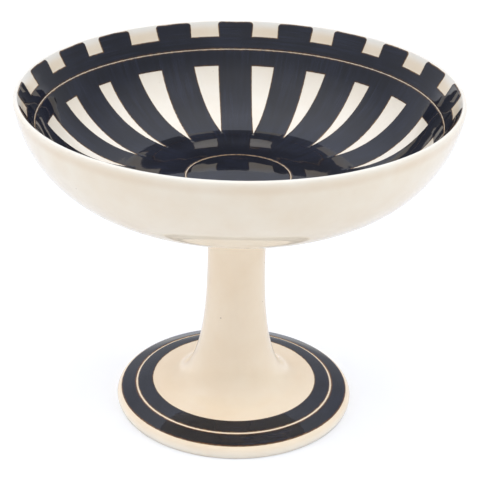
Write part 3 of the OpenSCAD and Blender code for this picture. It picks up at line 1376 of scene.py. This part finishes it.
@dataclass
class Pedestal:
    """The thrown stem and foot with its slip rings, and the slip that joins it to the bowl.

    Attributes:
        stem_r: radius of the stem at its top, in metres.
        wall: clay thickness, in metres.
        flare_h: height where the stem starts to flare, in metres.
        stem_pull: length of the flare's upper handle, in metres.
        foot_pull: length of the flare's lower handle, in metres.
        flare_r: radius where the flare meets the crown, in metres.
        cap_t: clay above the bore, in metres.
        crown_r: radius of the crown's rim, in metres.
        crown_h: height of the crown's rim, in metres.
        arc_r: radius of the crown's arc, in metres.
        arc_x: distance of that arc's centre from the axis, in metres.
        edge_r: radius of the rounded edge, in metres.
        edge_end: angle at which the rounded edge ends, in degrees.
        tuck: how far the standing edge is drawn in, in metres.
        ring_w: width of the standing ring, in metres.
        bare_h: height below which the clay is bare, in metres.
        lean: how far the hollow's wall leans in, in metres.
        line_r: radius of the scribed line, in metres.
        line_w: width of the scribed line, in metres.
        band_r: inner radius of the inner black ring, in metres.
        overrun: how far the outer ring runs past the crown's rim, in metres.
        collar_w: spread of the joint's collar, in metres.
        oval: slight oval of the stem, in metres.
        ring: depth of its throwing rings, in metres.
        true_h: height at which the oval is full, in metres.
        columns: points round the clay and the rings.
        joint_columns: points round the joint.
    """

    stem_r: float = 18.8 * MM
    wall: float = 7.5 * MM
    flare_h: float = 100.0 * MM
    stem_pull: float = 60.0 * MM
    foot_pull: float = 14.8 * MM
    flare_r: float = 43.0 * MM
    cap_t: float = 9.0 * MM
    crown_r: float = 74.5 * MM
    crown_h: float = 8.0 * MM
    arc_r: float = 140.0 * MM
    arc_x: float = 29.6 * MM
    edge_r: float = 4.5 * MM
    edge_end: float = -35.0
    tuck: float = 1.3 * MM
    ring_w: float = 8.5 * MM
    bare_h: float = 0.3 * MM
    lean: float = 2.6 * MM
    line_r: float = 64.4 * MM
    line_w: float = 1.1 * MM
    band_r: float = 53.7 * MM
    overrun: float = 0.3 * MM
    collar_w: float = 5.2 * MM
    oval: float = 0.15 * MM
    ring: float = 0.03 * MM
    true_h: float = 60.0 * MM
    columns: int = 400
    joint_columns: int = 160

    # Points down the wall of the hollow, and rings of the joint.
    HOLLOW_POINTS, JOINT_RINGS = 160, 64
    # Number of the clay's even rings, and reach and number of the close ones at the scribed line
    # and at the stem's shoulder. Those of the edge reach from before the crown's rim to past the
    # start of the standing ring.
    EVEN_RINGS = 150
    LINE_RINGS = (1.6 * MM, 9)
    SHOULDER_RINGS = (0.6 * MM, 3)
    EDGE_RINGS = (1.0 * MM, 14.0 * MM, 46)

    def __post_init__(self) -> None:
        """Works out the outline from the frame's height and the sizes."""
        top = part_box("pedestal")[1][2] + JOINT_RISE
        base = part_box("pedestal")[0][2]
        arc_z = base + self.crown_h - math.sqrt(self.arc_r ** 2 - (self.crown_r - self.arc_x) ** 2)
        rim_angle = math.acos((self.crown_r - self.arc_x) / self.arc_r)
        flare_angle = math.acos((self.flare_r - self.arc_x) / self.arc_r)
        crown = arc((self.arc_x, arc_z), self.arc_r, math.degrees(flare_angle), math.degrees(rim_angle))
        foot = crown[0]
        uphill = np.array([-math.sin(flare_angle), math.cos(flare_angle)])
        flare = bezier(np.array([self.stem_r, base + self.flare_h]),
                       np.array([self.stem_r, base + self.flare_h - self.stem_pull]),
                       foot + self.foot_pull * uphill, foot)
        edge_c = crown[-1] - self.edge_r * np.array([math.cos(rim_angle), math.sin(rim_angle)])
        edge = arc(tuple(edge_c), self.edge_r, math.degrees(rim_angle), self.edge_end)
        stand_r = edge_c[0] + self.edge_r - self.tuck
        stand_in = stand_r - self.ring_w
        hollow = self._hollow(Profile([flare, crown]), stand_in - self.lean)
        bore_r = self.stem_r - self.wall
        dome_c = (0.0, top - self.cap_t - bore_r)
        outside = [np.array([[0.0, top], [self.stem_r, top], [self.stem_r, base + self.flare_h]]), flare]
        under = [np.array([edge[-1], [stand_r, base], [stand_in, base], hollow[0]]), hollow,
                 np.array([hollow[-1], [bore_r, dome_c[1]]]), arc(dome_c, bore_r, 0.0, 90.0)]
        self.top_z = top
        self.flare_way = float(Profile(outside).way[-1])
        self.crown_way = float(Profile(outside + [crown]).way[-1])
        self.stand_way = float(Profile(outside + [crown, edge]).way[-1])
        self.profile = Profile(outside + [crown, edge] + under)
        self.line_way = self._way(self.line_r)
        hand = HandWork(oval=self.oval, waver=0.0, ring=self.ring)
        scribed = ((self.line_way, self.line_w),)
        self.form = TurnedForm(self.profile, hand, base, base + self.true_h, scribed)
        self.coat = SlipCoat(self.form)

    def _hollow(self, upper: Profile, radius: float) -> Array:
        """Wall of the hollow: the upper outline moved inward by the clay's thickness.

        Args:
            upper: outline of the flare and the crown.
            radius: outer radius at which the hollow starts, in metres.

        Returns:
            Its points from the foot upward.
        """
        start = upper.way_at_radius(radius, float(upper.way[-1]))
        r, z, nr, nz = upper.at(np.linspace(start, 0.0, self.HOLLOW_POINTS))
        return np.stack([r - self.wall * nr, z - self.wall * nz], axis=1)

    def _way(self, radius: float) -> float:
        """Distance along the crown where it reaches a radius."""
        on_crown = (self.profile.way >= self.flare_way) & (self.profile.way <= self.crown_way)
        return float(np.interp(radius, self.profile.rows[on_crown, 0], self.profile.way[on_crown]))

    def clay(self) -> Piece:
        """Makes the clay, with closer rings at the scribed line, the edge and the standing ring.

        Returns:
            The piece.
        """
        end = self.profile.way[-1]
        line = around(self.line_way, *self.LINE_RINGS)
        before, past, count = self.EDGE_RINGS
        edge = np.linspace(self.crown_way - before, self.stand_way + past, count)
        shoulder = around(self.stem_r, *self.SHOULDER_RINGS)
        stations = merged_places(end, self.EVEN_RINGS, line, edge, shoulder)
        return self.form.turned("pedestal_clay", stations, self.columns)

    def outer_ring(self) -> Piece:
        """Makes the outer black ring, from the scribed line to just past the crown's rim."""
        start, end = self.line_way + 0.5 * self.line_w, self.crown_way + self.overrun
        return self.coat.ring("foot_outer_slip", start, end, self.columns)

    def inner_ring(self) -> Piece:
        """Makes the inner black ring, inside the scribed line."""
        start, end = self._way(self.band_r), self.line_way - 0.5 * self.line_w
        return self.coat.ring("foot_inner_slip", start, end, self.columns)

    def joint(self) -> Piece:
        """Makes the luting slip: a thin disc and a smoothed collar in the corner below the bowl.

        Returns:
            The piece.
        """
        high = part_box("joint_slip")[1][2] + JOINT_RISE
        low = high - self.collar_w
        fillet = arc((self.stem_r + self.collar_w, low), self.collar_w, 90.0, 180.0)
        profile = Profile([np.array([[0.0, high], fillet[0]]), fillet,
                           np.array([fillet[-1], [self.stem_r, self.top_z], [0.0, self.top_z]])])
        form = TurnedForm(profile, HandWork(oval=0.0, waver=0.0, ring=0.0), low, high)
        stations = np.linspace(0.0, profile.way[-1], self.JOINT_RINGS)
        return form.turned("joint_collar", stations, self.joint_columns)

    def build(self, round_slip: Material) -> list[Piece]:
        """Makes and dresses the stem and foot, its black rings and the joint.

        Args:
            round_slip: the slip that is brushed on round the turning wheel.

        Returns:
            The pieces.
        """
        # Painted light: a pale band at the standing edge, lifting the shade where the foot curves under.
        painted_light_foot_edge = ColourBand(self.stand_way / MM, 7.0, 0.9, "#FFF6E6")
        # The foot's clay is painted lighter than the bowl's, standing in for more light on the stem and
        # foot.
        clay = GlazedClay("glazed_clay_foot_painted_light", "#FDEACE", "#F9E3C4", bands=(painted_light_foot_edge,))
        bare = BareClay("bare_clay")
        outer_slip = BlackSlip("black_slip_foot", BrushWay.ROUND, brown="#5E3A22", halo_mm=1.3)
        luting = GlazedClay("glazed_luting_slip", pale="#F2E2C8", deep="#E6D3B4")
        stand = self.clay()
        dress_below(stand, self.bare_h)
        return [dress(stand, "pedestal", "glazed_clay", clay.material(), bare.material()),
                dress(self.outer_ring(), "foot_outer_ring", "black_slip", outer_slip.material()),
                dress(self.inner_ring(), "foot_inner_ring", "black_slip", round_slip),
                dress(self.joint(), "joint_slip", "luting_slip", luting.material())]


# Studio

@dataclass(frozen=True)
class SoftBox:
    """A square soft lamp that points at the object, shielded from the glaze's reflections.

    Attributes:
        name: its name.
        place: its place in metres.
        power: its power in watts.
        size: its side in metres.
        colour: its colour.
        aim_z: height of the point that it faces, in metres.
    """

    name: str
    place: tuple[float, float, float]
    power: float
    size: float = 1.5
    colour: str = "#E4F1FF"
    aim_z: float = 0.12

    def build(self) -> None:
        """Hangs the lamp."""
        data = bpy.data.lights.new(self.name, "AREA")
        data.shape, data.size, data.energy = "SQUARE", self.size, self.power
        data.color = linear(self.colour)[:3]
        lamp = bpy.data.objects.new(self.name, data)
        lamp.location = self.place
        towards = Vector((0.0, 0.0, self.aim_z)) - Vector(self.place)
        lamp.rotation_euler = towards.to_track_quat("-Z", "Y").to_euler()
        lamp.visible_glossy = False
        bpy.context.scene.collection.objects.link(lamp)


@dataclass
class Studio:
    """A white paper sweep in a bright room, with soft lamps overhead and at both sides.

    Attributes:
        floor_size: side of the floor, in metres.
        floor_colour: colour of the paper.
        lift: white added to the paper where the camera looks at it.
        lamps: the soft lamps.
        room: colour of the room by height of the direction, from the horizon to overhead.
        room_level: how bright the room is.
        front_share: share of that on the camera's side.
        slant: how much brighter the room is at the left, and darker at the right.
    """

    floor_size: float = 12.0
    floor_colour: str = "#EEEEEE"
    lift: float = 0.15
    lamps: tuple[SoftBox, ...] = (SoftBox("lamp_overhead", (-0.1, -0.05, 2.2), 10.5, 2.2, "#EEF3FF"),
                                  SoftBox("lamp_left", (-1.6, -0.4, 1.5), 9.6),
                                  SoftBox("lamp_right", (1.6, -0.4, 1.5), 14.8))
    room: tuple[tuple[float, str], ...] = ((0.02, "#F4F4F4"), (0.06, "#D8D9DC"), (0.15, "#A9ACB4"),
                                           (0.47, "#AFB2BB"), (0.6, "#BFC3CE"), (0.9, "#F6F8FF"))
    room_level: float = 1.4
    front_share: float = 0.79
    slant: float = 0.12

    def floor(self) -> None:
        """Makes the floor, which the camera sees a little lighter than it lights the object."""
        half = 0.5 * self.floor_size
        points = np.array([[-half, -half, 0.0], [half, -half, 0.0], [half, half, 0.0],
                           [-half, half, 0.0]])
        floor = make_mesh("studio_floor", points, np.array([[0, 1, 2, 3]]))
        material = bpy.data.materials.new("studio_paper")
        material.use_nodes = True
        tree = material.node_tree
        tree.nodes.clear()
        paper = add_node(tree, "BsdfDiffuse", Color=linear(self.floor_colour))
        seen = add_node(tree, "LightPath").outputs["Is Camera Ray"]
        strength = add_node(tree, "Math", {"operation": "MULTIPLY"}, i0=seen, i1=self.lift)
        glow = add_node(tree, "Emission", Strength=strength)
        both = add_node(tree, "AddShader", i0=paper, i1=glow)
        add_node(tree, "OutputMaterial", Surface=both)
        floor.data.materials.append(material)

    def surround(self) -> None:
        """Sets the room's light: bright walls and ceiling, and plain white to the camera."""
        world = bpy.data.worlds.new("room")
        world.use_nodes = True
        tree = world.node_tree
        tree.nodes.clear()
        way = add_node(tree, "TexCoord").outputs["Generated"]
        parts = add_node(tree, "SeparateXYZ", Vector=way)
        depth = add_node(tree, "MapRange", EASED, Value=parts.outputs["Y"], From_Min=-1.0, From_Max=0.5,
                         To_Min=self.front_share * self.room_level, To_Max=self.room_level)
        slant = add_node(tree, "MapRange", EASED, Value=parts.outputs["X"], From_Min=-0.9, From_Max=0.9,
                         To_Min=1.0 + self.slant, To_Max=1.0 - self.slant)
        level = add_node(tree, "Math", {"operation": "MULTIPLY"}, i0=depth, i1=slant)
        colour = add_node(tree, "ValToRGB", {"stops": self.room}, Fac=parts.outputs["Z"])
        soft = add_node(tree, "Background", Color=colour, Strength=level)
        plain = add_node(tree, "Background", Color=linear("#FFFFFF"), Strength=1.0)
        seen = add_node(tree, "LightPath").outputs["Is Camera Ray"]
        both = add_node(tree, "MixShader", i0=seen, i1=soft, i2=plain)
        add_node(tree, "OutputWorld", Surface=both)
        bpy.context.scene.world = world

    def build(self) -> None:
        """Makes the floor, the lamps and the room."""
        self.floor()
        for lamp in self.lamps:
            lamp.build()
        self.surround()


@dataclass
class View:
    """The camera: where it stands and how it is turned.

    Attributes:
        place: its place in metres.
        down: tilt below the horizontal, in degrees.
        aside: turn from +Y toward +X, in degrees.
        roll: roll about its line of sight, in degrees.
        focal_px: focal length in pixels of the image.
        sensor: width of the sensor in millimetres.
    """

    place: tuple[float, float, float] = (0.0, -0.8643, 0.5411)
    down: float = 26.24
    aside: float = 0.13
    roll: float = 1.34
    focal_px: float = 1512.0
    sensor: float = 36.0

    def build(self) -> None:
        """Makes the camera and sets it as the scene's."""
        down, aside, roll = (math.radians(a) for a in (self.down, self.aside, self.roll))
        forward = np.array([math.sin(aside) * math.cos(down), math.cos(aside) * math.cos(down),
                            -math.sin(down)])
        right = np.array([math.cos(aside), -math.sin(aside), 0.0])
        upright = np.cross(right, forward)
        side = math.cos(roll) * right + math.sin(roll) * upright
        top = math.cos(roll) * upright - math.sin(roll) * right
        data = bpy.data.cameras.new("camera")
        data.sensor_width = self.sensor
        data.lens = self.focal_px / IMAGE_PX * self.sensor
        camera = bpy.data.objects.new("camera", data)
        matrix = np.eye(4)
        matrix[:3, :3] = np.stack([side, top, -forward], axis=1)
        matrix[:3, 3] = self.place
        camera.matrix_world = Matrix(matrix.tolist())
        bpy.context.scene.collection.objects.link(camera)
        bpy.context.scene.camera = camera


def main() -> None:
    """Builds the compote bowl in its studio."""
    logging.basicConfig(level=logging.INFO, format="%(name)s: %(message)s")
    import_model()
    View().build()
    round_slip = BlackSlip("black_slip_round", BrushWay.ROUND).material()
    for part in (Bowl(), Pedestal()):
        for piece in part.build(round_slip):
            log.info("%s has %d faces", piece.name, len(piece.data.polygons))
    Studio().build()
    bpy.context.scene.view_settings.view_transform = "Standard"


if __name__ == "__main__":
    main()
